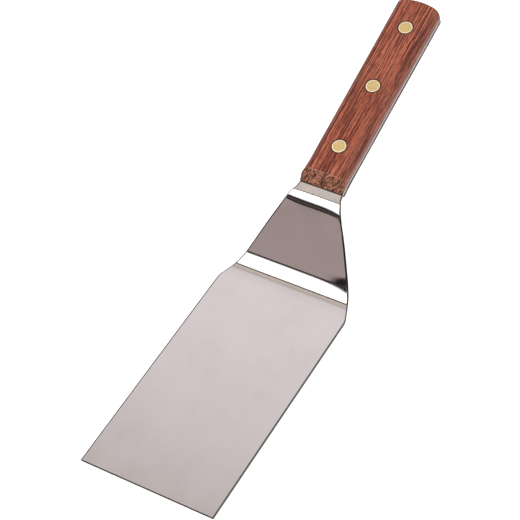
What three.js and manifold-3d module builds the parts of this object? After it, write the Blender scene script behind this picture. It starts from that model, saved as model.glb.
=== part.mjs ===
// A grill spatula: a wide flat blade, a steep tapering neck and a full tang, all bent from one
// stainless sheet, with two hardwood scales held on the tang by three brass compression rivets.
// Millimetres. +X points to the blade's front edge, +Z is up and the blade lies on z = 0.
// The origin is under the middle of the tool's bounding box.

import * as THREE from 'three';
import { mergeVertices } from 'three/addons/utils/BufferGeometryUtils.js';
import Module from 'manifold-3d';

const SHEET_THICKNESS = 1.2;

// The flat blank: its square blade, its tapering neck and the tang between the scales.
const BLADE_WIDTH = 76.2;
const BLADE_SIDE_LENGTH = 134.2;
const FRONT_CORNER_RADIUS = 1;
const BACK_CORNER_REACH = 2.2;
const NECK_MIDDLE = 172;
const NECK_MIDDLE_WIDTH = 46.9;
const NECK_TOP_WIDTH = 28.2;
const TANG_SHOULDER_WIDTH = 26.6;
const TANG_SHOULDER_STEP = 1.4;

// The bends, measured along the sheet from the front edge. The lower one begins gently and is
// tightest where it meets the neck. The upper one begins gently at the neck.
const HEEL_START = 135.28;
const HEEL_EASE_ARC = 6;
const HEEL_EASE_END = THREE.MathUtils.degToRad(2.4);
const HEEL_ARC = 11.4;
const HEEL_ARC_END = THREE.MathUtils.degToRad(42);
const HEEL_TIGHT_ARC = 1.1;
const NECK_ANGLE = THREE.MathUtils.degToRad(53.3);
const NECK_LENGTH = 33.42;
const NECK_TOP_OPEN_ARC = 3;
const NECK_TOP_OPEN_END = THREE.MathUtils.degToRad(42.4);
const NECK_TOP_ARC = 4.2;
const TANG_ANGLE = THREE.MathUtils.degToRad(14);
const BARE_TANG_LENGTH = 4.9;

const HANDLE_LENGTH = 122.7;
const HANDLE_FRONT_WIDTH = 24.4;
const HANDLE_BUTT_WIDTH = 25.5;
const HANDLE_HALF_HEIGHT = 7.2;
const HANDLE_FLARE = 0.5;
const HANDLE_FLARE_REACH = 10;
const BUTT_RADIUS = 34;
const BUTT_CORNER_RADIUS = 0.7;
const BUTT_FLAT = 0.04;
const UPPER_EDGE_RADIUS = 3.8;
const LOWER_EDGE_RADIUS = 5.5;
const SCALE_LAND = 0.8;
const SCALE_BEVEL_RUN = 5.7;

const RIVET_STATIONS = [23.3, 63.8, 104.3];
const RIVET_HEAD_RADIUS = 3.9;
const RIVET_HEAD_HEIGHT = 1.6;
const RIVET_PIN_RADIUS = 1.5;
const RIVET_PIN_END = -4.5;
const RIVET_TUBE_BORE = 1.8;
const RIVET_TUBE_RADIUS = 2.4;
const RIVET_TUBE_END = 3.2;

const CLEARANCE = 0.3;
const BEND_STEPS = 8;
const TIGHT_STEPS = 3;
const FLARE_STEPS = 5;
const CORNER_STEPS = 6;
const BUTT_STEPS = 12;
const RIVET_SIDES = 40;

const wasm = await Module();
wasm.setup();

const steel = new THREE.MeshStandardMaterial({ color: 0xc9c1bf, roughness: 0.35, metalness: 1 });
const rosewood = new THREE.MeshStandardMaterial({ color: 0x8c5a4b, roughness: 0.45, metalness: 0 });
const brass = new THREE.MeshStandardMaterial({ color: 0xdec38c, roughness: 0.3, metalness: 1 });

// The sheet's middle line is a run of straight and bent lengths, measured back from the front edge.
const runs = [
  { length: HEEL_START, from: 0, to: 0 },
  { length: HEEL_EASE_ARC, from: 0, to: HEEL_EASE_END },
  { length: HEEL_ARC, from: HEEL_EASE_END, to: HEEL_ARC_END },
  { length: HEEL_TIGHT_ARC, from: HEEL_ARC_END, to: NECK_ANGLE },
  { length: NECK_LENGTH, from: NECK_ANGLE, to: NECK_ANGLE },
  { length: NECK_TOP_OPEN_ARC, from: NECK_ANGLE, to: NECK_TOP_OPEN_END },
  { length: NECK_TOP_ARC, from: NECK_TOP_OPEN_END, to: TANG_ANGLE },
  { length: BARE_TANG_LENGTH + HANDLE_LENGTH, from: TANG_ANGLE, to: TANG_ANGLE },
];

// Back and up distances of the middle line, and its slope, after a length along the sheet.
function middleLine(distance) {
  let back = 0;
  let up = SHEET_THICKNESS / 2;
  let left = distance;
  let angle = 0;
  for (const run of runs) {
    const step = Math.min(left, run.length);
    const turn = (run.to - run.from) * (step / run.length);
    const mean = run.from + turn / 2;
    const chord = turn === 0 ? step : (2 * step * Math.sin(turn / 2)) / turn;
    back += chord * Math.cos(mean);
    up += chord * Math.sin(mean);
    angle = run.from + turn;
    left -= step;
    if (left <= 0) break;
  }
  return { back, up, angle };
}

const heelArcStart = HEEL_START + HEEL_EASE_ARC;
const heelEnd = heelArcStart + HEEL_ARC + HEEL_TIGHT_ARC;
const neckEnd = heelEnd + NECK_LENGTH + NECK_TOP_OPEN_ARC + NECK_TOP_ARC;
const handleStart = neckEnd + BARE_TANG_LENGTH;
const handleEnd = handleStart + HANDLE_LENGTH;
const handleFront = middleLine(handleStart);
const buttEnd = middleLine(handleEnd);
const overallLength = buttEnd.back + HANDLE_HALF_HEIGHT * Math.sin(TANG_ANGLE);
const frontEdgeX = overallLength / 2;

function toSolid(geometry) {
  const plain = geometry.clone();
  plain.deleteAttribute('normal');
  plain.deleteAttribute('uv');
  const merged = mergeVertices(plain, 1e-4);
  const mesh = new wasm.Mesh({
    numProp: 3,
    vertProperties: new Float32Array(merged.attributes.position.array),
    triVerts: new Uint32Array(merged.index.array),
  });
  return new wasm.Manifold(mesh);
}

function toGeometry(solid) {
  const mesh = solid.getMesh();
  const geometry = new THREE.BufferGeometry();
  geometry.setAttribute('position', new THREE.BufferAttribute(mesh.vertProperties, 3));
  geometry.setIndex(new THREE.BufferAttribute(mesh.triVerts, 1));
  geometry.computeVertexNormals();
  return geometry;
}

// A closed anticlockwise outline, each point [x, y, radius] rounded by its radius.
function roundedShape(points) {
  const shape = new THREE.Shape();
  points.forEach(([x, y, radius], i) => {
    const corner = new THREE.Vector2(x, y);
    const before = new THREE.Vector2(...points.at(i - 1)).sub(corner).normalize();
    const after = new THREE.Vector2(...points[(i + 1) % points.length]).sub(corner).normalize();
    if (radius === 0) {
      if (i === 0) shape.moveTo(x, y);
      else shape.lineTo(x, y);
      return;
    }
    const half = Math.acos(before.dot(after)) / 2;
    const middle = before.clone().add(after).setLength(radius / Math.sin(half)).add(corner);
    const start = Math.atan2(before.x, -before.y);
    const end = Math.atan2(-after.x, after.y);
    shape.absarc(middle.x, middle.y, radius, start, end, false);
  });
  shape.closePath();
  return shape;
}

// Extrudes an outline drawn in x and y, centred on its depth.
function slab(shape, depth) {
  const geometry = new THREE.ExtrudeGeometry(shape, {
    depth,
    bevelEnabled: false,
    curveSegments: CORNER_STEPS,
  });
  geometry.translate(0, 0, -depth / 2);
  return geometry;
}

// Half of the blank's width at each place where its edge changes direction.
const blankEdge = [
  [0, BLADE_WIDTH / 2],
  [BLADE_SIDE_LENGTH, BLADE_WIDTH / 2],
  [NECK_MIDDLE, NECK_MIDDLE_WIDTH / 2],
  [neckEnd, NECK_TOP_WIDTH / 2],
  [neckEnd + TANG_SHOULDER_STEP, TANG_SHOULDER_WIDTH / 2],
  [handleStart, HANDLE_FRONT_WIDTH / 2 + HANDLE_FLARE],
  [handleEnd, HANDLE_BUTT_WIDTH / 2],
];

// The width that a front corner takes off the edge.
function cornerLoss(distance) {
  const rest = Math.max(FRONT_CORNER_RADIUS - distance, 0);
  return FRONT_CORNER_RADIUS - Math.sqrt(FRONT_CORNER_RADIUS ** 2 - rest ** 2);
}

function halfWidth(distance) {
  const next = Math.max(blankEdge.findIndex(([at]) => at >= distance), 1);
  const [start, wide] = blankEdge[next - 1];
  const [end, narrow] = blankEdge[next];
  const edge = THREE.MathUtils.mapLinear(distance, start, end, wide, narrow);
  const straight = distance > handleStart ? handleHalfWidth(handleStart - distance) : edge;
  const pastCorner = distance - BLADE_SIDE_LENGTH;
  if (Math.abs(pastCorner) < BACK_CORNER_REACH) {
    const slope = (BLADE_WIDTH - NECK_MIDDLE_WIDTH) / 2 / (NECK_MIDDLE - BLADE_SIDE_LENGTH);
    const eased = (pastCorner + BACK_CORNER_REACH) ** 2 / (4 * BACK_CORNER_REACH);
    return BLADE_WIDTH / 2 - slope * eased;
  }
  const toButt = Math.max(handleEnd - distance, BUTT_FLAT);
  const atButt = Math.sqrt(toButt * Math.max(2 * BUTT_RADIUS - toButt, 0));
  if (toButt < BUTT_RADIUS) return Math.min(straight, atButt);
  return straight - cornerLoss(distance);
}

// Every place along the sheet where it bends or its edge turns.
function sheetStations() {
  const stations = blankEdge.map(([at]) => at);
  const fill = (from, length, steps) => {
    for (let i = 0; i <= steps; i++) stations.push(from + (length * i) / steps);
  };
  for (let i = 1; i <= CORNER_STEPS; i++) {
    const turn = (i / CORNER_STEPS) * (Math.PI / 2);
    stations.push(FRONT_CORNER_RADIUS * (1 - Math.cos(turn)));
  }
  fill(BLADE_SIDE_LENGTH - BACK_CORNER_REACH, 2 * BACK_CORNER_REACH, CORNER_STEPS);
  fill(HEEL_START, HEEL_EASE_ARC, TIGHT_STEPS);
  fill(heelArcStart, HEEL_ARC, BEND_STEPS);
  fill(heelEnd - HEEL_TIGHT_ARC, HEEL_TIGHT_ARC, TIGHT_STEPS);
  fill(heelEnd + NECK_LENGTH, NECK_TOP_OPEN_ARC, TIGHT_STEPS);
  fill(neckEnd - NECK_TOP_ARC, NECK_TOP_ARC, BEND_STEPS);
  fill(handleStart, HANDLE_FLARE_REACH, FLARE_STEPS);
  for (let i = 1; i <= BUTT_STEPS; i++) {
    const turn = (i / BUTT_STEPS) * Math.asin(HANDLE_BUTT_WIDTH / 2 / BUTT_RADIUS);
    stations.push(handleEnd - BUTT_RADIUS * (1 - Math.cos(turn)));
  }
  stations.sort((a, b) => a - b);
  return stations.filter((at, i) => i === 0 || at - stations[i - 1] > 1e-3);
}

// A flat box with one slice at each station, every slice set to the blank's width and bent up.
function bentSheet() {
  const stations = sheetStations();
  const slices = stations.length - 1;
  const box = new THREE.BoxGeometry(1, 1, SHEET_THICKNESS, slices, 1, 1);
  const { position } = box.attributes;
  for (let i = 0; i < position.count; i++) {
    const distance = stations[Math.round((0.5 - position.getX(i)) * slices)];
    const side = Math.sign(position.getY(i));
    const offset = position.getZ(i);
    const { back, up, angle } = middleLine(distance);
    position.setXYZ(
      i,
      frontEdgeX - back + offset * Math.sin(angle),
      side * halfWidth(distance),
      up + offset * Math.cos(angle),
    );
  }
  return toSolid(box);
}

// The handle seen along its own upward axis: x runs forward and is 0 at the front of the scales.
function handleOutline() {
  const half = HANDLE_BUTT_WIDTH / 2 - BUTT_CORNER_RADIUS / 2;
  const spread = Math.asin(half / BUTT_RADIUS);
  const butt = [];
  for (let i = 0; i <= BUTT_STEPS; i++) {
    const angle = spread * (1 - (2 * i) / BUTT_STEPS);
    const x = -HANDLE_LENGTH + BUTT_RADIUS * (1 - Math.cos(angle));
    butt.push([x, BUTT_RADIUS * Math.sin(angle), 0]);
  }
  const sideEnd = butt[0][0] + BUTT_CORNER_RADIUS;
  const places = [...flareStations(), sideEnd];
  return roundedShape([
    ...places.map((x) => [x, handleHalfWidth(x), 0]),
    ...butt,
    ...places.reverse().map((x) => [x, -handleHalfWidth(x), 0]),
  ]);
}

// The handle widens a little towards the butt, and flares at its front end.
function handleHalfWidth(x) {
  const [front, butt] = [HANDLE_FRONT_WIDTH / 2, HANDLE_BUTT_WIDTH / 2];
  const flare = HANDLE_FLARE * Math.max(1 + x / HANDLE_FLARE_REACH, 0) ** 2;
  return THREE.MathUtils.mapLinear(x, 0, -HANDLE_LENGTH, front, butt) + flare;
}

// Places along the flare, from the front of the scales back.
function flareStations() {
  return Array.from({ length: FLARE_STEPS + 1 }, (_, i) => -(HANDLE_FLARE_REACH * i) / FLARE_STEPS);
}

function intoHandle(object) {
  object.position.set(frontEdgeX - handleFront.back, 0, handleFront.up);
  object.rotation.y = TANG_ANGLE;
  object.updateMatrixWorld();
  return object;
}

function rod(radius, station, low, high) {
  const geometry = new THREE.CylinderGeometry(radius, radius, high - low, RIVET_SIDES);
  geometry.rotateX(Math.PI / 2);
  geometry.translate(-station, 0, (low + high) / 2);
  return geometry;
}

function bladeAndTang() {
  const turn = intoHandle(new THREE.Object3D()).matrixWorld;
  let solid = bentSheet();
  for (const station of RIVET_STATIONS) {
    const hole = rod(RIVET_TUBE_RADIUS + CLEARANCE, station, -5, 5).applyMatrix4(turn);
    solid = solid.subtract(toSolid(hole));
  }
  return toGeometry(solid);
}

// The scale's section, square below and rounded above, extruded along the tapering handle.
function scaleBar(low, high, edgeRadius) {
  const half = HANDLE_FRONT_WIDTH / 2;
  const bar = slab(roundedShape([
    [-half, low, 0],
    [half, low, 0],
    [half, high, edgeRadius],
    [-half, high, edgeRadius],
  ]), 2 * HANDLE_LENGTH + 20);
  bar.rotateX(Math.PI / 2);
  bar.rotateZ(Math.PI / 2);
  const { position } = bar.attributes;
  for (let i = 0; i < position.count; i++) {
    const widening = handleHalfWidth(position.getX(i)) / half;
    position.setY(i, position.getY(i) * widening * 1.001);
  }
  return toSolid(bar);
}

// The scale seen from the side, with the sloping face at its front end.
function scaleProfile(low, high) {
  const back = -HANDLE_LENGTH - 5;
  const shape = new THREE.Shape([
    new THREE.Vector2(back, low - 1),
    new THREE.Vector2(0, low - 1),
    new THREE.Vector2(0, low + SCALE_LAND),
    new THREE.Vector2(-SCALE_BEVEL_RUN, high),
    new THREE.Vector2(-SCALE_BEVEL_RUN, high + 1),
    new THREE.Vector2(back, high + 1),
  ]);
  const profile = slab(shape, 2 * HANDLE_BUTT_WIDTH);
  profile.rotateX(Math.PI / 2);
  return toSolid(profile);
}

// One scale lying on the tang's upper face, in the handle's own axes.
function handleScale(edgeRadius) {
  const low = SHEET_THICKNESS / 2 + CLEARANCE;
  const high = HANDLE_HALF_HEIGHT;
  const seat = high - RIVET_HEAD_HEIGHT - CLEARANCE;
  const plan = toSolid(slab(handleOutline(), 40));
  let solid = plan.intersect(scaleBar(low, high, edgeRadius)).intersect(scaleProfile(low, high));
  for (const station of RIVET_STATIONS) {
    solid = solid.subtract(toSolid(rod(RIVET_TUBE_RADIUS + CLEARANCE, station, 0, 20)));
    solid = solid.subtract(toSolid(rod(RIVET_HEAD_RADIUS + CLEARANCE, station, seat, 20)));
  }
  return toGeometry(solid);
}

// Turns a profile of [radius, height] points about the rivet's axis.
function turned(points) {
  const geometry = new THREE.LatheGeometry(points.map(([r, h]) => new THREE.Vector2(r, h)), RIVET_SIDES);
  geometry.rotateX(Math.PI / 2);
  return toGeometry(toSolid(geometry));
}

// The upper half of a rivet: a head flush with the wood and a solid pin.
function pinHalf() {
  const seat = HANDLE_HALF_HEIGHT - RIVET_HEAD_HEIGHT;
  return turned([
    [0, RIVET_PIN_END],
    [RIVET_PIN_RADIUS, RIVET_PIN_END],
    [RIVET_PIN_RADIUS, seat],
    [RIVET_HEAD_RADIUS, seat],
    [RIVET_HEAD_RADIUS, HANDLE_HALF_HEIGHT],
    [0, HANDLE_HALF_HEIGHT],
  ]);
}

// The lower half: a head and the tube that the pin is pressed into.
function tubeHalf() {
  const seat = -HANDLE_HALF_HEIGHT + RIVET_HEAD_HEIGHT;
  return turned([
    [0, -HANDLE_HALF_HEIGHT],
    [RIVET_HEAD_RADIUS, -HANDLE_HALF_HEIGHT],
    [RIVET_HEAD_RADIUS, seat],
    [RIVET_TUBE_RADIUS, seat],
    [RIVET_TUBE_RADIUS, RIVET_TUBE_END],
    [RIVET_TUBE_BORE, RIVET_TUBE_END],
    [RIVET_TUBE_BORE, seat],
    [0, seat],
  ]);
}

function named(name, geometry, material) {
  const mesh = new THREE.Mesh(geometry, material.clone());
  mesh.name = name;
  return mesh;
}

const spatula = new THREE.Group();
spatula.add(named('blade_and_tang', bladeAndTang(), steel));

const handle = intoHandle(new THREE.Group());
spatula.add(handle);

handle.add(named('upper_scale', handleScale(UPPER_EDGE_RADIUS), rosewood));
const lowerScale = named('lower_scale', handleScale(LOWER_EDGE_RADIUS), rosewood);
lowerScale.rotation.x = Math.PI;
handle.add(lowerScale);

const places = ['front', 'middle', 'rear'];
RIVET_STATIONS.forEach((station, i) => {
  const rivet = new THREE.Group();
  rivet.position.x = -station;
  rivet.add(named(`${places[i]}_rivet_pin`, pinHalf(), brass));
  rivet.add(named(`${places[i]}_rivet_tube`, tubeHalf(), brass));
  handle.add(rivet);
});

export default spatula;
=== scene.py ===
# A grill spatula: a wide flat blade, a steep tapering neck and a full tang bent from one stainless
# sheet, with two rosewood scales held on the tang by three brass compression rivets.
# Lengths are in millimetres until they reach Blender, which works in metres. +X points to the
# blade's front edge, +Z is up and the blade lies on z = 0.

import math

import bmesh
import bpy
from mathutils import Euler, Matrix, Vector


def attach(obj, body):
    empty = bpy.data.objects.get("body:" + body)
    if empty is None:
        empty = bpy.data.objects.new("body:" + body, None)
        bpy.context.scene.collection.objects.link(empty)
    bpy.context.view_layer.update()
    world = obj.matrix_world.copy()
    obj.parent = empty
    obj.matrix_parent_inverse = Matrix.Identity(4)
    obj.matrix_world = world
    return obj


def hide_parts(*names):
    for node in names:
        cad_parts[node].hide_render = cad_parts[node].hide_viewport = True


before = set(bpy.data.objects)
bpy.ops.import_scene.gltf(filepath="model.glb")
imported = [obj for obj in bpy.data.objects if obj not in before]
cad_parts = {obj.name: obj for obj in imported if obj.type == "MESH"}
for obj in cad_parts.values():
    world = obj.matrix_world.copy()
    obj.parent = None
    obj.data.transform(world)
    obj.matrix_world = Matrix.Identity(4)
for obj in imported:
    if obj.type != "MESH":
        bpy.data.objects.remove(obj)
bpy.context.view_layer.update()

MM = 0.001

SHEET_THICKNESS = 1.2
SHEET_EDGE_RADIUS = 0.3
SHEET_EDGE_ROLL = 0.9
SHEET_END_SHARE = 0.9
TANG_EDGE_SHARE = 0.3

BLADE_WIDTH = 76.2
BLADE_SIDE_LENGTH = 134.2
FRONT_CORNER_RADIUS = 0.4
BACK_CORNER_REACH = 2.2
NECK_MIDDLE = 172
NECK_MIDDLE_WIDTH = 46.9
NECK_TOP_WIDTH = 28.2
TANG_SHOULDER_WIDTH = 26.6
TANG_SHOULDER_STEP = 1.4

HEEL_START = 135.28
NECK_LENGTH = 33.42
NECK_ANGLE = math.radians(53.3)
TANG_ANGLE = math.radians(14)
BARE_TANG_LENGTH = 4.9

HANDLE_LENGTH = 122.7
HANDLE_FRONT_WIDTH = 24.4
HANDLE_BUTT_WIDTH = 25.5
HANDLE_HALF_HEIGHT = 7.2
HANDLE_FLARE = 0.5
HANDLE_FLARE_REACH = 10
BUTT_RADIUS = 34
BUTT_CORNER_RADIUS = 0.7
UPPER_EDGE_RADIUS = 3.8
LOWER_EDGE_RADIUS = 5.5
SCALE_LAND = 0.8
SCALE_BEVEL_RUN = 5.7
SCALE_GAP = 0.03
SEAM_EASE = 0.15
FRONT_EASE = 0.35
BUTT_EASE = 0.6
BUTT_CORNER_SHARE = 0.98

RIVET_STATIONS = [23.3, 63.8, 104.3]
RIVET_HEAD_RADIUS = 3.9
RIVET_HEAD_HEIGHT = 1.6
RIVET_HEAD_PROUD = 0.04
RIVET_RING_GAP = 0.2
RIVET_RIM_WIDTH = 0.6
RIVET_CLEARANCE = 0.05
RIVET_PIN_RADIUS = 1.5
RIVET_PIN_END = -4.5
RIVET_TIP_INWARD = 0.2
RIVET_TIP_LENGTH = 0.3
RIVET_TUBE_BORE = 1.8
RIVET_TUBE_RADIUS = 2.4
RIVET_TUBE_END = 3.2
RIVET_SIDES = 96
SHEET_HOLE_SIDES = 64
SHARP_ANGLE = math.radians(35)

# The rivet head's bevelled rim and domed face: each point's distance in from the rim and down
# from the top.
RIVET_HEAD_STEPS = [(0, 0.2), (0.03, 0.09), (0.08, 0.04), (0.4, 0.022), (0.52, 0.018), (1.6, 0.01)]

# The sheet's middle line from the front edge back: length, slope at its start and at its end.
RUNS = [
    (HEEL_START, 0.0, 0.0),
    (6.0, 0.0, math.radians(2.4)),
    (11.4, math.radians(2.4), math.radians(42)),
    (1.1, math.radians(42), NECK_ANGLE),
    (NECK_LENGTH, NECK_ANGLE, NECK_ANGLE),
    (3.0, NECK_ANGLE, math.radians(42.4)),
    (4.2, math.radians(42.4), TANG_ANGLE),
    (BARE_TANG_LENGTH + HANDLE_LENGTH, TANG_ANGLE, TANG_ANGLE),
]

# Cells along each run, and the closest that two stations may come.
RUN_STEPS = [14, 8, 44, 12, 12, 12, 24, 18]
CLOSEST_STATIONS = 0.004

# The tang's round butt: how much of its tip is left off so that the end keeps a width, and how
# far round its arc, in radians, the stations are set.
BUTT_END_REST = 0.04
BUTT_TURN = 0.6

NECK_END = sum(length for length, _, _ in RUNS[:-1])
HANDLE_START = NECK_END + BARE_TANG_LENGTH
HANDLE_END = HANDLE_START + HANDLE_LENGTH

# Bending curls the sheet's side edges a little: place along the sheet, reach each way along it,
# reach in from the side, and the lift of the -Y and of the +Y edge.
CURLS = [
    (152.8, 4.7, 24.0, 0.0, 0.37),
    (NECK_END - 10, 7.0, 14.0, 0.0, 0.45),
    (NECK_END - 3.5, 6.0, 10.0, 0.2, 0.0),
]


def middle_line(distance):
    """Back and up distances of the sheet's middle line, and its slope, that far from the front."""
    back, up, left, angle = 0.0, SHEET_THICKNESS / 2, distance, 0.0
    for length, start, end in RUNS:
        step = min(left, length)
        turn = (end - start) * step / length
        chord = step if turn == 0 else 2 * step * math.sin(turn / 2) / turn
        back += chord * math.cos(start + turn / 2)
        up += chord * math.sin(start + turn / 2)
        angle = start + turn
        left -= step
        if left <= 0:
            break
    return back, up, angle


FRONT_X = (middle_line(HANDLE_END)[0] + HANDLE_HALF_HEIGHT * math.sin(TANG_ANGLE)) / 2


def handle_matrix():
    """From the handle's own axes, x forward from the scales' front and z off the tang, in metres."""
    back, up, _ = middle_line(HANDLE_START)
    turn = Matrix.Rotation(TANG_ANGLE, 4, "Y")
    return Matrix.Translation(Vector((FRONT_X - back, 0, up)) * MM) @ turn


HANDLE = handle_matrix()


def lattice_box(name, counts, place):
    """A closed skin over a lattice of that many cells; place(i, j, k) gives a point in millimetres."""
    nx, ny, nz = counts
    mesh = bmesh.new()
    points = {}

    def point(at):
        if at not in points:
            points[at] = mesh.verts.new(Vector(place(*at)) * MM)
        return points[at]

    def face(*corners):
        mesh.faces.new([point(at) for at in corners])

    for i in range(nx):
        for j in range(ny):
            face((i, j, 0), (i, j + 1, 0), (i + 1, j + 1, 0), (i + 1, j, 0))
            face((i, j, nz), (i + 1, j, nz), (i + 1, j + 1, nz), (i, j + 1, nz))
        for k in range(nz):
            face((i, 0, k), (i + 1, 0, k), (i + 1, 0, k + 1), (i, 0, k + 1))
            face((i, ny, k), (i, ny, k + 1), (i + 1, ny, k + 1), (i + 1, ny, k))
    for j in range(ny):
        for k in range(nz):
            face((0, j, k), (0, j, k + 1), (0, j + 1, k + 1), (0, j + 1, k))
            face((nx, j, k), (nx, j + 1, k), (nx, j + 1, k + 1), (nx, j, k + 1))
    bmesh.ops.recalc_face_normals(mesh, faces=mesh.faces)
    return finished(name, mesh)


def lathe(name, profile, station, sides=RIVET_SIDES):
    """Turns [radius, height] points, the first and last on the axis, into a closed solid."""
    mesh = bmesh.new()
    rings = []
    for radius, height in profile:
        turns = range(sides if radius > 0 else 1)
        angles = [2 * math.pi * i / sides for i in turns]
        rings.append([
            mesh.verts.new(Vector((radius * math.cos(a) - station, radius * math.sin(a), height)) * MM)
            for a in angles
        ])
    for low, high in zip(rings, rings[1:]):
        for i in range(sides):
            corners = []
            for ring, at in ((low, i), (low, i + 1), (high, i + 1), (high, i)):
                vertex = ring[at % len(ring)]
                if vertex not in corners:
                    corners.append(vertex)
            mesh.faces.new(corners)
    bmesh.ops.recalc_face_normals(mesh, faces=mesh.faces)
    return finished(name, mesh)


def finished(name, mesh):
    data = bpy.data.meshes.new(name)
    mesh.to_mesh(data)
    mesh.free()
    piece = bpy.data.objects.new(name, data)
    bpy.context.scene.collection.objects.link(piece)
    return piece


def cut(piece, cutters):
    """Takes the cutters out of the piece and removes them."""
    for cutter in cutters:
        modifier = piece.modifiers.new("cut", "BOOLEAN")
        modifier.operation = "DIFFERENCE"
        modifier.solver = "EXACT"
        modifier.object = cutter
    bpy.context.view_layer.update()
    evaluated = piece.evaluated_get(bpy.context.evaluated_depsgraph_get())
    data = bpy.data.meshes.new_from_object(evaluated)
    piece.modifiers.clear()
    piece.data = data
    for cutter in cutters:
        bpy.data.objects.remove(cutter)


def smooth(piece):
    """Smooth shading that keeps real corners sharp and big faces flat."""
    data = piece.data
    data.shade_smooth()
    data.set_sharp_from_angle(angle=SHARP_ANGLE)
    weighted = piece.modifiers.new("flat_faces", "WEIGHTED_NORMAL")
    weighted.keep_sharp = True
    weighted.weight = 50


# Half of the blank's width at each place where its edge changes direction.
BLANK_EDGE = [
    (0, BLADE_WIDTH / 2),
    (BLADE_SIDE_LENGTH, BLADE_WIDTH / 2),
    (NECK_MIDDLE, NECK_MIDDLE_WIDTH / 2),
    (NECK_END, NECK_TOP_WIDTH / 2),
    (NECK_END + TANG_SHOULDER_STEP, TANG_SHOULDER_WIDTH / 2),
    (HANDLE_START, HANDLE_FRONT_WIDTH / 2 + HANDLE_FLARE),
    (HANDLE_END, HANDLE_BUTT_WIDTH / 2),
]


def quarter(radius, rest):
    """How far a rounded corner of that radius draws in, that far from its end."""
    left = max(radius - rest, 0)
    return radius - math.sqrt(max(radius**2 - left**2, 0))


def blank_half_width(distance):
    past = distance - BLADE_SIDE_LENGTH
    slope = (BLADE_WIDTH - NECK_MIDDLE_WIDTH) / 2 / (NECK_MIDDLE - BLADE_SIDE_LENGTH)
    if abs(past) < BACK_CORNER_REACH:
        return BLADE_WIDTH / 2 - slope * (past + BACK_CORNER_REACH) ** 2 / (4 * BACK_CORNER_REACH)
    for (start, wide), (end, narrow) in zip(BLANK_EDGE, BLANK_EDGE[1:]):
        if distance <= end:
            width = wide + (narrow - wide) * (distance - start) / (end - start)
            break
    if distance > HANDLE_START:
        width = handle_half_width(HANDLE_START - distance)
    to_butt = max(HANDLE_END - distance, BUTT_END_REST)
    if to_butt < BUTT_RADIUS:
        return min(width, math.sqrt(to_butt * (2 * BUTT_RADIUS - to_butt)))
    return width - quarter(FRONT_CORNER_RADIUS, distance)


def sheet_stations():
    stations = {0.0, HANDLE_END}
    start = 0.0
    for (length, _, _), steps in zip(RUNS, RUN_STEPS):
        stations.update(start + length * i / steps for i in range(steps + 1))
        start += length
    for i in range(1, 9):
        turn = i / 8 * math.pi / 2
        stations.add(SHEET_EDGE_RADIUS * (1 - math.cos(turn)))
        stations.add(FRONT_CORNER_RADIUS * (1 - math.cos(turn)))
        stations.add(HANDLE_END - BUTT_RADIUS * (1 - math.cos(i / 8 * BUTT_TURN)))
        stations.add(HANDLE_START + HANDLE_FLARE_REACH * i / 8)
    for i in range(13):
        stations.add(BLADE_SIDE_LENGTH + BACK_CORNER_REACH * (i / 6 - 1))
    stations.update(at for at, _ in BLANK_EDGE)
    kept = []
    for at in sorted(stations):
        if at <= HANDLE_END and (not kept or at - kept[-1] > CLOSEST_STATIONS):
            kept.append(at)
    return kept


# Places across a rounded section: a share of the flat part, and a share of the edge radius.
EDGE_TURNS = [math.tan(math.radians(15 * i)) for i in (1, 2, 3)]


def section_places(flat_steps):
    """Places from side to side, closer together towards the sides."""
    turns = [math.pi / 2 * (2 * i / flat_steps - 1) for i in range(flat_steps + 1)]
    rim = [(1.0, turn) for turn in EDGE_TURNS]
    return [(-a, -b) for a, b in reversed(rim)] + [(math.sin(a), 0.0) for a in turns] + rim


def edge_curl(distance, y, half):
    """How far the sheet lifts off its middle line at that side distance."""
    lift = 0.0
    for centre, reach, inward, minus_lift, plus_lift in CURLS:
        away = min(abs(distance - centre) / reach, 1)
        to_side = max(1 - (half - abs(y)) / inward, 0)
        lift += (plus_lift if y > 0 else minus_lift) * (1 - away**2) ** 2 * to_side**2
    return lift


def blade_sheet():
    stations = sheet_stations()
    across = section_places(32)
    through = section_places(2)
    counts = (len(stations) - 1, len(across) - 1, len(through) - 1)

    def place(i, j, k):
        distance = stations[i]
        most = SHEET_END_SHARE * SHEET_EDGE_RADIUS
        drawn_in = min(quarter(SHEET_EDGE_RADIUS, distance), most)
        edge = SHEET_EDGE_RADIUS - drawn_in
        if distance > HANDLE_START:
            edge *= TANG_EDGE_SHARE
        roll = SHEET_EDGE_ROLL / SHEET_EDGE_RADIUS if distance <= HANDLE_START else 1.0
        half = blank_half_width(distance)
        side, lift = across[j], through[k]
        rim = Vector((side[1], lift[1])) * edge
        if rim.length > 0 and (j in (0, counts[1]) or k in (0, counts[2])):
            rim = rim.normalized() * edge
        y = side[0] * (half - drawn_in - roll * edge) + roll * rim.x
        height = lift[0] * (SHEET_THICKNESS / 2 - drawn_in - edge) + rim.y
        height += edge_curl(distance, y, half)
        back, up, angle = middle_line(distance)
        return (FRONT_X - back + height * math.sin(angle), y, up + height * math.cos(angle))

    piece = lattice_box("blade_sheet", counts, place)
    holes = []
    radius, reach = RIVET_TUBE_RADIUS + RIVET_CLEARANCE, 5
    profile = [(0, -reach), (radius, -reach), (radius, reach), (0, reach)]
    for station in RIVET_STATIONS:
        hole = lathe("hole", profile, station, SHEET_HOLE_SIDES)
        hole.data.transform(HANDLE)
        holes.append(hole)
    cut(piece, holes)
    return piece


def handle_half_width(x):
    """The handle widens a little towards the butt, and flares at its front end."""
    taper = (HANDLE_BUTT_WIDTH - HANDLE_FRONT_WIDTH) * -x / HANDLE_LENGTH
    flare = HANDLE_FLARE * max(1 + x / HANDLE_FLARE_REACH, 0) ** 2
    return (HANDLE_FRONT_WIDTH + taper) / 2 + flare


SCALE_LOW = SHEET_THICKNESS / 2 + SCALE_GAP


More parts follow.
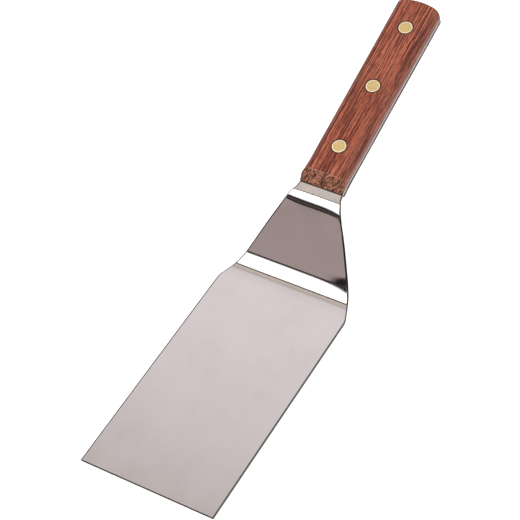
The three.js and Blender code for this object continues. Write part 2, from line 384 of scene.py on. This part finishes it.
def scale_levels(edge_radius):
    """Heights up a scale's side, each with the width drawn in there, then its rounded upper edge."""
    levels = [
        (SCALE_LOW, SEAM_EASE),
        (SCALE_LOW + 0.3 * SEAM_EASE, 0.3 * SEAM_EASE),
        (SCALE_LOW + SEAM_EASE, 0.0),
        (SCALE_LOW + SCALE_LAND, 0.0),
    ]
    start = HANDLE_HALF_HEIGHT - edge_radius
    levels.append(((SCALE_LOW + SCALE_LAND + start) / 2, 0.0))
    for i in range(13):
        turn = math.radians(7.5 * i)
        levels.append((start + edge_radius * math.sin(turn), edge_radius * (1 - math.cos(turn))))
    return levels


def bevel_x(height):
    """Where the sloping front face is at that height."""
    above = max(height - SCALE_LOW - SCALE_LAND, 0)
    return -SCALE_BEVEL_RUN * above / (HANDLE_HALF_HEIGHT - SCALE_LOW - SCALE_LAND)


def butt_bow(y):
    """How far the round butt end draws forward at that side distance."""
    return BUTT_RADIUS - math.sqrt(BUTT_RADIUS**2 - y**2)


def eased_ends(ease, steps=6):
    """Distances from an end for a rounding of that radius, from the end inwards."""
    return [ease * (1 - math.cos(math.pi / 2 * i / steps)) for i in range(steps + 1)]


def handle_scale(name, edge_radius):
    """One scale on the tang's upper face, in the handle's own axes."""
    levels = scale_levels(edge_radius)
    front = eased_ends(FRONT_EASE)
    butt = eased_ends(BUTT_CORNER_RADIUS, 10)[::-1]
    long_part = HANDLE_LENGTH - FRONT_EASE - BUTT_CORNER_RADIUS
    steps = 40
    rows = [-at for at in front]
    rows += [-FRONT_EASE - long_part * i / steps for i in range(1, steps)]
    rows += [-HANDLE_LENGTH + at for at in butt]
    across = 24

    def place(i, j, k):
        height, drawn_in = levels[k]
        along = rows[i]
        to_butt = min(max((-along - FRONT_EASE) / long_part, 0), 1)
        down = quarter(FRONT_EASE, -along)
        inward = down + BUTT_CORNER_SHARE * quarter(BUTT_CORNER_RADIUS, HANDLE_LENGTH + along)
        down += quarter(BUTT_EASE, HANDLE_LENGTH + along)
        y = (2 * j / across - 1) * (handle_half_width(along) - drawn_in - inward)
        full = HANDLE_HALF_HEIGHT - SCALE_LOW
        z = SCALE_LOW + (height - SCALE_LOW) * (full - down) / full
        x = along + (1 - to_butt) * bevel_x(z) + to_butt * butt_bow(y)
        return (x, y, z)

    piece = lattice_box(name, (len(rows) - 1, across, len(levels) - 1), place)
    seat = HANDLE_HALF_HEIGHT - RIVET_HEAD_HEIGHT
    shank = RIVET_TUBE_RADIUS + RIVET_CLEARANCE
    head = RIVET_HEAD_RADIUS + RIVET_RING_GAP
    below, above = -1, HANDLE_HALF_HEIGHT + 1.8
    profile = [
        (0, below),
        (shank, below),
        (shank, seat),
        (head, seat),
        (head, above),
        (0, above),
    ]
    cut(piece, [lathe("hole", profile, station) for station in RIVET_STATIONS])
    return piece


def head_profile(top, rim_radius):
    """The head's bevelled rim and its very slightly domed face, from the rim to the axis."""
    return [(rim_radius - inward, top - down) for inward, down in RIVET_HEAD_STEPS] + [(0, top)]


def rivet_pin(name, station):
    seat = HANDLE_HALF_HEIGHT - RIVET_HEAD_HEIGHT
    profile = [
        (0, RIVET_PIN_END),
        (RIVET_PIN_RADIUS - RIVET_TIP_INWARD, RIVET_PIN_END),
        (RIVET_PIN_RADIUS, RIVET_PIN_END + RIVET_TIP_LENGTH),
        (RIVET_PIN_RADIUS, seat),
        (RIVET_HEAD_RADIUS, seat),
    ]
    profile += head_profile(HANDLE_HALF_HEIGHT + RIVET_HEAD_PROUD, RIVET_HEAD_RADIUS)
    return lathe(name, profile, station)


def rivet_tube(name, station):
    seat = HANDLE_HALF_HEIGHT - RIVET_HEAD_HEIGHT
    profile = [
        (0, seat),
        (RIVET_TUBE_BORE, seat),
        (RIVET_TUBE_BORE, -RIVET_TUBE_END),
        (RIVET_TUBE_RADIUS, -RIVET_TUBE_END),
        (RIVET_TUBE_RADIUS, seat),
        (RIVET_HEAD_RADIUS, seat),
    ]
    profile += head_profile(HANDLE_HALF_HEIGHT + RIVET_HEAD_PROUD, RIVET_HEAD_RADIUS)
    piece = lathe(name, profile, station)
    piece.data.transform(Matrix.Rotation(math.pi, 4, "X"))
    return piece


# ---- materials ----


class Nodes:
    """Adds shader nodes to one material or world and links them."""

    def __init__(self, owner):
        owner.use_nodes = True
        self.tree = owner.node_tree
        self.tree.nodes.clear()

    def add(self, kind, inputs=None, **settings):
        node = self.tree.nodes.new(kind)
        for key, value in settings.items():
            setattr(node, key, value)
        for key, value in (inputs or {}).items():
            if isinstance(value, bpy.types.NodeSocket):
                self.tree.links.new(value, node.inputs[key])
            else:
                node.inputs[key].default_value = value
        return node

    def math(self, operation, *values):
        inputs = dict(enumerate(values))
        return self.add("ShaderNodeMath", inputs, operation=operation).outputs[0]

    def vector(self, operation, *values):
        inputs = dict(enumerate(values))
        return self.add("ShaderNodeVectorMath", inputs, operation=operation).outputs[0]

    def mix(self, share, low, high, blend="MIX"):
        inputs = {0: share, 6: low, 7: high}
        node = self.add("ShaderNodeMix", inputs, data_type="RGBA", blend_type=blend)
        return node.outputs[2]

    def span(self, value, low, high, to_low=0.0, to_high=1.0, smooth=False):
        inputs = {0: value, 1: low, 2: high, 3: to_low, 4: to_high}
        kind = "SMOOTHSTEP" if smooth else "LINEAR"
        return self.add("ShaderNodeMapRange", inputs, interpolation_type=kind).outputs[0]

    def window(self, value, start, rise_end, fall_start, end, smooth=False):
        """1 between two places, fading to 0 on either side."""
        rise = self.span(value, start, rise_end, smooth=smooth)
        return self.math("MULTIPLY", rise, self.span(value, end, fall_start, smooth=smooth))

    def noise(self, vector, scale, detail, roughness=0.5, distortion=0.0):
        inputs = {"Vector": vector, "Scale": scale, "Detail": detail}
        inputs.update({"Roughness": roughness, "Distortion": distortion})
        return self.add("ShaderNodeTexNoise", inputs).outputs[0]

    def cells(self, vector, scale):
        inputs = {"Vector": vector, "Scale": scale}
        return self.add("ShaderNodeTexVoronoi", inputs).outputs["Distance"]

    def ramp(self, value, stops):
        node = self.add("ShaderNodeValToRGB", {0: value})
        ramp = node.color_ramp
        for at, _ in stops[2:]:
            ramp.elements.new(at)
        for element, (at, colour) in zip(ramp.elements, stops):
            element.position = at
            element.color = (*colour, 1.0)
        return node.outputs[0]

    def object_mm(self):
        """The object's own coordinates in millimetres."""
        own = self.add("ShaderNodeTexCoord").outputs["Object"]
        return self.scaled(own, (1000, 1000, 1000))

    def scaled(self, vector, by):
        return self.vector("MULTIPLY", vector, by)

    def turned_by(self, vector, angle, axis):
        inputs = {"Vector": vector, "Angle": angle}
        return self.add("ShaderNodeVectorRotate", inputs, rotation_type=axis).outputs[0]

    def from_axis(self, place, x):
        """Distance from the upright axis at that x."""
        flat = self.scaled(self.vector("SUBTRACT", place, (x, 0, 0)), (1, 1, 0))
        return self.add("ShaderNodeVectorMath", {0: flat}, operation="LENGTH").outputs["Value"]

    def split(self, vector):
        return self.add("ShaderNodeSeparateXYZ", {0: vector}).outputs

    def sum(self, *parts):
        """Adds values, each with its share."""
        total = 0.0
        for value, share in parts:
            inputs = {0: value, 1: share, 2: total}
            total = self.add("ShaderNodeMath", inputs, operation="MULTIPLY_ADD").outputs[0]
        return total

    def bump(self, height, distance, strength, under=None):
        inputs = {"Height": height, "Distance": distance, "Strength": strength}
        if under is not None:
            inputs["Normal"] = under
        return self.add("ShaderNodeBump", inputs).outputs[0]

    def surface(self, **inputs):
        named = {key.replace("_", " "): value for key, value in inputs.items()}
        shader = self.add("ShaderNodeBsdfPrincipled", named)
        self.add("ShaderNodeOutputMaterial", {"Surface": shader.outputs[0]})


def grey(value, warmth=1.0):
    """A grey colour, a little warmer with a higher warmth."""
    return (value * warmth, value, value / warmth, 1.0)


STEEL_TONES = [
    (0.25, (0.61, 0.575, 0.565)),
    (0.5, (0.655, 0.62, 0.61)),
    (0.75, (0.68, 0.65, 0.645)),
]


def satin_steel(name):
    """Satin stainless sheet: lengthwise grinding, cloudy handling marks, dents and hairlines."""
    material = bpy.data.materials.new(name)
    g = Nodes(material)
    place = g.object_mm()
    grinding = g.noise(g.scaled(place, (0.03, 6, 0.03)), 1.0, 3.0, 0.6)
    fine = g.noise(g.scaled(place, (0.12, 22, 0.12)), 1.0, 2.0, 0.5)
    clouds = g.noise(place, 0.03, 3.0, 0.55)
    smudges = g.noise(g.scaled(place, (0.05, 0.11, 0.05)), 1.0, 4.0, 0.6, 0.6)
    scratch = g.span(g.cells(g.scaled(place, (0.035, 0.9, 0.035)), 1.0), 0.03, 0.0)
    colour = g.ramp(g.sum((clouds, 0.6), (smudges, 0.4)), STEEL_TONES)
    rough = g.sum((g.span(smudges, 0.3, 0.7, 0.06, 0.10), 1.0), (grinding, 0.02), (scratch, 0.1))
    normal = g.bump(g.sum((grinding, 0.6), (fine, 0.4)), 0.000004, 0.35)
    normal = g.bump(g.noise(place, 0.045, 1.0), 0.00012, 0.3, under=normal)
    dents = g.span(g.cells(place, 0.35), 0.0, 0.22, smooth=True)
    normal = g.bump(dents, 0.00001, 0.6, under=normal)
    g.surface(Base_Color=colour, Metallic=1.0, Roughness=rough, Normal=normal)
    return material


def cut_steel(name, low, high, rough=0.4):
    """A cut edge of the sheet, streaked through its thickness."""
    material = bpy.data.materials.new(name)
    g = Nodes(material)
    place = g.object_mm()
    streaks = g.noise(g.scaled(place, (1.6, 1.6, 0.5)), 1.0, 4.0, 0.6)
    colour = g.mix(g.span(streaks, 0.3, 0.7), grey(low, 1.04), grey(high, 1.04))
    roughness = g.span(streaks, 0.3, 0.7, rough - 0.08, rough + 0.08)
    normal = g.bump(streaks, 0.00002, 0.5)
    g.surface(Base_Color=colour, Metallic=1.0, Roughness=roughness, Normal=normal)
    return material


ROSEWOOD_TONES = [
    (0.0, (0.125, 0.018, 0.007)),
    (0.25, (0.25, 0.042, 0.017)),
    (0.5, (0.365, 0.079, 0.034)),
    (0.75, (0.465, 0.118, 0.058)),
    (1.0, (0.57, 0.178, 0.100)),
]
PORE_COLOUR = (0.07, 0.009, 0.004, 1)
# Painted shade on the scales' rounded sides.
SIDE_SHADE_COLOUR = (0.06, 0.012, 0.007, 1)
# Painted highlight along the rounded edge of the sloping front.
EDGE_HIGHLIGHT_COLOUR = (0.85, 0.5, 0.36, 1)
BUTT_EDGE_COLOUR = (0.05, 0.018, 0.012, 1)
# Painted shade in a ring round each brass head.
RIVET_RING_SHADE = (0.06, 0.016, 0.007, 1)
# Painted shade along the seam where each scale meets the tang.
TANG_SEAM_SHADE = (0.03, 0.01, 0.007, 1)

END_GRAIN_DARK = (0.055, 0.014, 0.007, 1)
END_GRAIN_LIGHT = (0.57, 0.235, 0.132, 1)
END_GRAIN_DOT = (0.04, 0.012, 0.008, 1)
# The upright end faces: partly end-grain dirt, partly painted shade.
END_FACE_DIRT_AND_SHADE = (0.06, 0.025, 0.018, 1)


def long_grain(g, place):
    """Colour, pores, streak lines and fibres of the wood that is cut along its grain."""
    sway = g.noise(g.scaled(place, (0.012, 0.06, 0.06)), 1.0, 2.0)
    sway = g.math("MULTIPLY", g.math("SUBTRACT", sway, 0.5), 2.5)
    grain = g.vector("ADD", place, g.add("ShaderNodeCombineXYZ", {1: sway, 2: sway}).outputs[0])

    def stretched(offset, by):
        return g.scaled(g.vector("ADD", grain, offset), by)

    broad = g.noise(g.scaled(grain, (0.014, 0.42, 0.42)), 1.0, 2.0, 0.5)
    lines = g.noise(g.scaled(grain, (0.018, 1.45, 1.45)), 1.0, 2.0, 0.65)
    fibres = g.noise(g.scaled(grain, (0.3, 3.6, 3.6)), 1.0, 2.0, 0.6)
    tone = g.span(g.sum((broad, 0.10), (lines, 0.60), (fibres, 0.30)), 0.418, 0.55)
    streaks = g.noise(stretched((11, 2, 5), (0.018, 1.6, 1.6)), 1.0, 1.0, 0.5)
    streaks = g.span(streaks, 0.41, 0.365, smooth=True)
    thin = g.noise(stretched((4, 8, 1), (0.03, 2.1, 2.1)), 1.0, 1.0, 0.5)
    streaks = g.math("MAXIMUM", streaks, g.span(thin, 0.435, 0.39, 0.0, 0.9, smooth=True))
    short_pores = g.cells(stretched((3, 5, 9), (0.14, 2.4, 2.4)), 1.0)
    short_pores = g.span(short_pores, 0.40, 0.28, 0.0, 0.85, smooth=True)
    pores = g.math("MAXIMUM", streaks, short_pores)
    colour = g.mix(g.math("MULTIPLY", pores, 0.85), g.ramp(tone, ROSEWOOD_TONES), PORE_COLOUR)
    return colour, pores, lines, fibres


def end_grain(g, place, speckle, across):
    """Colour of the wood that is cut across its grain: leaning bands, speckle and dark dots; the
    upright end faces are darker, partly end-grain dirt and partly painted shade.
    """
    leaning = g.turned_by(place, 0.6, "X_AXIS")
    bands = g.noise(g.scaled(leaning, (0.3, 1.1, 0.25)), 1.0, 2.0, 0.5, 0.6)
    mottle = g.span(g.sum((bands, 0.6), (speckle, 0.4)), 0.43, 0.57)
    dots = g.span(g.cells(g.scaled(place, (0.6, 1.2, 1.2)), 1.0), 0.46, 0.3, smooth=True)
    colour = g.mix(mottle, END_GRAIN_DARK, END_GRAIN_LIGHT)
    colour = g.mix(g.math("MULTIPLY", dots, 0.85), colour, END_GRAIN_DOT)
    # Partly dirt and partly painted shade: the upright end faces are darkened.
    return g.mix(g.span(across, 0.82, 0.97), colour, END_FACE_DIRT_AND_SHADE)


def wood_edges_and_painted_light(g, own, colour, speckle, across, side):
    """A painted highlight round the slope's edge, a dark butt edge, painted shade on the sides, and
    painted shade round the brass and along the steel.
    """
    along, _, height = g.split(own)
    at_butt = g.span(along, -HANDLE_LENGTH / 2, -HANDLE_LENGTH / 2 - 1)
    # Painted highlight: the rounded edge round the slope is painted lighter, broken up by speckle and
    # left off at the butt.
    painted_edge_highlight = g.window(across, 0.06, 0.3, 0.45, 0.62)
    painted_edge_highlight = g.math("MULTIPLY", painted_edge_highlight, g.span(speckle, 0.48, 0.6, 0.1, 0.9))
    painted_edge_highlight = g.math("MULTIPLY", painted_edge_highlight, g.math("SUBTRACT", 1.0, at_butt))
    colour = g.mix(painted_edge_highlight, colour, EDGE_HIGHLIGHT_COLOUR)
    butt_edge = g.math("MULTIPLY", at_butt, g.span(across, 0.12, 0.4))
    colour = g.mix(butt_edge, colour, BUTT_EDGE_COLOUR)
    # Painted shade: the wood darkens as its face turns to either side.
    colour = g.mix(g.span(side, 0.03, 0.14, 0.0, 0.38, smooth=True), colour, SIDE_SHADE_COLOUR)

    # Painted shade: the wood darkens in a ring close round each brass head.
    rings_out = [g.from_axis(own, -station) for station in RIVET_STATIONS]
    by_rivet = g.math("MINIMUM", g.math("MINIMUM", *rings_out[:2]), rings_out[2])
    hole = RIVET_HEAD_RADIUS + RIVET_RING_GAP
    colour = g.mix(g.span(by_rivet, hole + 0.2, hole + 0.8, 0.95, 0.0), colour, RIVET_RING_SHADE)
    # Painted shade: the wood darkens towards the face that lies on the tang.
    by_tang = g.span(height, SCALE_LOW + 0.15, SCALE_LOW + 0.9, 0.9, 0.0)
    return g.mix(by_tang, colour, TANG_SEAM_SHADE)


def rosewood(name, offset, painted_shade, gloss):
    """Oiled rosewood: streaks and pores run along x; end grain shows on the slope and the butt."""
    material = bpy.data.materials.new(name)
    g = Nodes(material)
    own = g.object_mm()
    place = g.vector("ADD", own, offset)
    speckle = g.noise(place, 1.25, 3.0, 0.7)
    across, side, _ = g.split(g.add("ShaderNodeTexCoord").outputs["Normal"])
    across, side = g.math("ABSOLUTE", across), g.math("ABSOLUTE", side)
    cut_across = g.span(across, 0.42, 0.6, smooth=True)

    colour, pores, lines, fibres = long_grain(g, place)
    colour = g.mix(cut_across, colour, end_grain(g, place, speckle, across))
    colour = wood_edges_and_painted_light(g, own, colour, speckle, across, side)
    # Painted shade: the whole colour is multiplied down, far more on the lower scale to shade its
    # underside.
    colour = g.mix(1.0, colour, grey(painted_shade), blend="MULTIPLY")

    rough = g.span(lines, 0.3, 0.7, 0.28, 0.38)
    rough = g.sum((rough, 1.0), (pores, 0.25), (cut_across, 0.25))
    normal = g.bump(fibres, 0.00005, 0.35)
    normal = g.bump(g.math("SUBTRACT", 1.0, pores), 0.0001, 0.6, under=normal)
    g.surface(Base_Color=colour, Roughness=rough, Normal=normal, IOR=1.5,
              Specular_IOR_Level=gloss)
    return material


BRASS_TONES = [
    (0.35, (0.815, 0.625, 0.29)),
    (0.5, (0.86, 0.67, 0.325)),
    (0.65, (0.90, 0.715, 0.36)),
]
# Painted highlight on the rim of each brass head.
BRASS_RIM_HIGHLIGHT = (1.0, 0.87, 0.65, 1)
# Painted shade on the head's outer wall in the ring gap.
BRASS_WALL_SHADE = (0.08, 0.04, 0.015, 1)


def brass(name, station, turn):
    """Brass sanded flush with the wood: fine scratches one way, tarnish, a rim painted lighter as a
    highlight, and the head's outer wall painted dark as shade.
    """
    material = bpy.data.materials.new(name)
    g = Nodes(material)
    place = g.object_mm()
    sanding = g.noise(g.scaled(g.turned_by(place, turn, "Z_AXIS"), (0.35, 5, 1)), 1.0, 4.0, 0.65)
    tarnish = g.noise(place, 0.5, 3.0, 0.6)
    out = g.from_axis(place, -station)
    rim_start = RIVET_HEAD_RADIUS - RIVET_RIM_WIDTH
    rim = g.span(out, rim_start, rim_start + 0.12)
    shaded_wall = g.span(out, RIVET_HEAD_RADIUS - 0.05, RIVET_HEAD_RADIUS - 0.01)
    colour = g.ramp(g.sum((sanding, 0.6), (tarnish, 0.4)), BRASS_TONES)
    # Painted highlight: the rim is painted lighter.
    colour = g.mix(rim, colour, BRASS_RIM_HIGHLIGHT)
    # Painted shade: the head's outer wall down in the ring gap is painted near black.
    colour = g.mix(shaded_wall, colour, BRASS_WALL_SHADE)
    rough = g.span(sanding, 0.3, 0.7, 0.16, 0.26)
    rough = g.sum((rough, 1.0), (tarnish, 0.05), (rim, 0.15))
    normal = g.bump(sanding, 0.00003, 0.35)
    g.surface(Base_Color=colour, Metallic=1.0, Roughness=rough, Normal=normal)
    return material


# ---- pieces ----


def add_piece(piece, nodes, materials):
    for material in materials:
        piece.data.materials.append(material)
    smooth(piece)
    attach(piece, "root")
    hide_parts(*nodes)


# The finishes of the sheet's faces, in the order of its material slots: satin, then faces whose dark
# colour is painted shade: the cut side, the darkest cut faces, and the ground tang edge between the
# scales.
SATIN, PAINTED_SHADE_SIDE, PAINTED_SHADE_CUT, SHADED_GROUND = range(4)

# The heights between which the neck's cut edge is painted darkest, as shade, on both sides.
DARK_NECK_LOW = SHEET_THICKNESS + 0.5
DARK_NECK_HIGH = middle_line(NECK_END - 5)[1]


def sheet_finish(face):
    """The finish of one face of the sheet, from where it is and which way it faces, with painted shade
    on the cut faces.
    """
    x, _, z = face.center / MM
    across = face.normal.y
    if (HANDLE.inverted() @ face.center).x < 0:
        lying = abs(face.normal.dot(HANDLE.to_3x3() @ Vector((0, 0, 1)))) > 0.9
        return SATIN if lying else SHADED_GROUND
    if abs(across) < 0.12:
        is_front = x > FRONT_X - SHEET_EDGE_RADIUS and abs(face.normal.z) < 0.97
        return PAINTED_SHADE_CUT if is_front else SATIN
    on_neck = DARK_NECK_LOW < z < DARK_NECK_HIGH
    return PAINTED_SHADE_CUT if on_neck or across < 0 else PAINTED_SHADE_SIDE


def build_blade():
    piece = blade_sheet()
    materials = [
        satin_steel("satin_steel"),
        # Painted shade: the cut sides and cut faces get near-black and dark grey steel, and the ground
        # tang edge a dimmer grey than the satin faces.
        cut_steel("side_painted_shade_steel", 0.05, 0.13),
        cut_steel("cut_painted_shade_steel", 0.006, 0.02),
        cut_steel("ground_tang_painted_shade_steel", 0.26, 0.44, 0.35),
    ]
    add_piece(piece, ["blade_and_tang"], materials)
    for face in piece.data.polygons:
        face.material_index = sheet_finish(face)


# Each scale's piece, node, edge radius, place in the grain, painted shade (a darkening that shades the
# lower scale's underside), gloss and turn about x.
SCALES = [
    ("upper_scale_wood", "upper_scale", UPPER_EDGE_RADIUS, (0, 0, 0), 0.94, 0.30, 0.0),
    ("lower_scale_wood", "lower_scale", LOWER_EDGE_RADIUS, (40, 7, 3), 0.45, 0.15, math.pi),
]

# The direction of the sanding on each rivet.
SANDING_TURNS = {"front": 0.9, "middle": 0.7, "rear": 1.05}


def build_handle():
    for name, node, radius, offset, painted_shade, gloss, turn in SCALES:
        piece = handle_scale(name, radius)
        piece.matrix_world = HANDLE @ Matrix.Rotation(turn, 4, "X")
        add_piece(piece, [node], [rosewood(name, offset, painted_shade, gloss)])
    for station, (place, turn) in zip(RIVET_STATIONS, SANDING_TURNS.items()):
        material = brass(place + "_brass", station, turn)
        for half, make in (("pin", rivet_pin), ("tube", rivet_tube)):
            piece = make(f"{place}_{half}_brass", station)
            piece.matrix_world = HANDLE
            add_piece(piece, [f"{place}_rivet_{half}"], [material])


# ---- studio ----

FLOOR_SIZE = 6.0
FLOOR_DROP = 0.0001
FLOOR_GLOW = 0.8
BACKDROP_GAP = 0.5
BACKDROP_GLOW = 1.05
CAMERA_PLACE = (0.51988, 0.33930, 0.70933)
CAMERA_TURN = (41.6415, 4.5859, 119.7214)
CAMERA_LENS = 122.98
SENSOR_WIDTH = 36


def build_camera():
    data = bpy.data.cameras.new("camera")
    data.sensor_width = SENSOR_WIDTH
    data.lens = CAMERA_LENS
    data.clip_start, data.clip_end = 0.01, 50
    camera = bpy.data.objects.new("camera", data)
    camera.location = CAMERA_PLACE
    camera.rotation_euler = Euler([math.radians(a) for a in CAMERA_TURN], "XYZ")
    bpy.context.scene.collection.objects.link(camera)
    bpy.context.scene.camera = camera


def build_floor():
    mesh = bmesh.new()
    half = FLOOR_SIZE / 2
    places = ((-half, -half), (half, -half), (half, half), (-half, half))
    mesh.faces.new([mesh.verts.new((x, y, -FLOOR_DROP)) for x, y in places])
    floor = finished("floor", mesh)
    material = bpy.data.materials.new("pale_floor")
    g = Nodes(material)
    g.surface(Base_Color=(0.5, 0.5, 0.5, 1), Roughness=0.8,
              Emission_Color=(1, 1, 1, 1), Emission_Strength=FLOOR_GLOW)
    floor.data.materials.append(material)


def build_backdrop():
    """A pale dome that only the camera sees."""
    mesh = bmesh.new()
    radius = FLOOR_SIZE / 2 + BACKDROP_GAP
    bmesh.ops.create_uvsphere(mesh, u_segments=48, v_segments=24, radius=radius)
    dome = finished("backdrop", mesh)
    dome.visible_diffuse = False
    dome.visible_glossy = False
    dome.visible_transmission = False
    dome.visible_volume_scatter = False
    dome.visible_shadow = False
    material = bpy.data.materials.new("pale_backdrop")
    g = Nodes(material)
    shader = g.add("ShaderNodeEmission", {"Color": (1, 1, 1, 1), "Strength": BACKDROP_GLOW})
    g.add("ShaderNodeOutputMaterial", {"Surface": shader.outputs[0]})
    dome.data.materials.append(material)


# The bands of light and dark, at each angle in degrees from the front horizon over the zenith to
# the back.
BANDS = [
    (0, (0.475, 0.40, 0.385)),
    (22.6, (0.515, 0.43, 0.415)),
    (23.8, (0.012, 0.01, 0.009)),
    (27.5, (0.012, 0.01, 0.009)),
    (29.5, (0.10, 0.082, 0.073)),
    (35, (0.10, 0.082, 0.073)),
    (37, (0.012, 0.01, 0.009)),
    (41.0, (0.012, 0.013, 0.016)),
    (43.0, (0.22, 0.27, 0.34)),
    (46.0, (2.0, 2.0, 2.0)),
    (94.4, (2.0, 2.0, 1.97)),
    (95.2, (0.02, 0.02, 0.02)),
    (99.8, (0.02, 0.02, 0.02)),
    (100.5, (1.15, 1.06, 0.97)),
    (101.8, (0.87, 0.79, 0.72)),
    (102.8, (0.77, 0.70, 0.63)),
    (108, (0.75, 0.675, 0.60)),
    (114, (0.66, 0.60, 0.55)),
    (116.8, (0.69, 0.64, 0.62)),
    (118.4, (0.82, 0.765, 0.77)),
    (121.5, (0.95, 0.895, 0.92)),
    (125.5, (1.04, 0.98, 1.0)),
    (140, (1.0, 0.95, 0.96)),
    (180, (0.8, 0.8, 0.8)),
]

# The plain sky elsewhere, from the horizon to the zenith.
PLAIN_SKY = [
    (0.0, (0.52, 0.50, 0.50)),
    (0.3, (0.84, 0.80, 0.80)),
    (0.6, (1.20, 1.17, 1.16)),
    (1.0, (1.12, 1.09, 1.09)),
]
DIM_COLOUR = (0.07, 0.084, 0.11)
PANEL_COLOUR = (2.0, 2.0, 2.0)
BELOW_COLOUR = (1.0, 1.0, 1.0)
BRIGHTEST = 2.0

# Where each part of the sky starts, is whole, starts to fade and ends, from -Y to +Y and in the
# angle of the bands. The dim patch starts at the front horizon, so it has only the last two angles.
STRIP_SIDES = (-0.62, -0.50, -0.20, -0.08)
DIM_SIDES = (-0.305, -0.23, -0.1, 0.0)
DIM_ANGLES = (50, 75)
PANEL_SIDES = (0.3, 0.55, 0.85, 0.95)
PANEL_ANGLES = (93, 100, 125, 135)


def of_brightest(colour):
    """A light's colour as a share of the brightest."""
    return tuple(c / BRIGHTEST for c in colour)


def build_world():
    """A strip of bands on the -Y side, with a dim patch low at its inner edge, a bright panel high
    on the +Y side, and a plain grey sky elsewhere."""
    world = bpy.data.worlds.new("studio")
    bpy.context.scene.world = world
    g = Nodes(world)
    x, y, z = g.split(g.add("ShaderNodeTexCoord").outputs["Generated"])
    angle = g.math("ARCTAN2", z, x)
    half_turns = g.math("MAXIMUM", g.math("DIVIDE", angle, math.pi), 0.0)
    bands = g.ramp(half_turns, [(at / 180, of_brightest(colour)) for at, colour in BANDS])
    height = g.math("MAXIMUM", z, 0.0)
    sky = g.ramp(height, [(at, of_brightest(colour)) for at, colour in PLAIN_SKY])
    colour = g.mix(g.window(y, *STRIP_SIDES, smooth=True), sky, bands)

    fading, ended = (math.radians(at) for at in DIM_ANGLES)
    dim = g.window(y, *DIM_SIDES, smooth=True)
    dim = g.math("MULTIPLY", dim, g.span(angle, ended, fading))
    colour = g.mix(dim, colour, (*of_brightest(DIM_COLOUR), 1))
    over = g.window(angle, *(math.radians(at) for at in PANEL_ANGLES))
    panel = g.math("MULTIPLY", g.window(y, *PANEL_SIDES), over)
    colour = g.mix(panel, colour, (*of_brightest(PANEL_COLOUR), 1))
    colour = g.mix(g.span(z, 0.0, -0.02), colour, (*of_brightest(BELOW_COLOUR), 1))
    background = g.add("ShaderNodeBackground", {"Color": colour, "Strength": BRIGHTEST})
    g.add("ShaderNodeOutputWorld", {"Surface": background.outputs[0]})


def build_studio():
    build_camera()
    build_floor()
    build_backdrop()
    build_world()
    bpy.context.scene.view_settings.view_transform = "Standard"


build_blade()
build_handle()
build_studio()
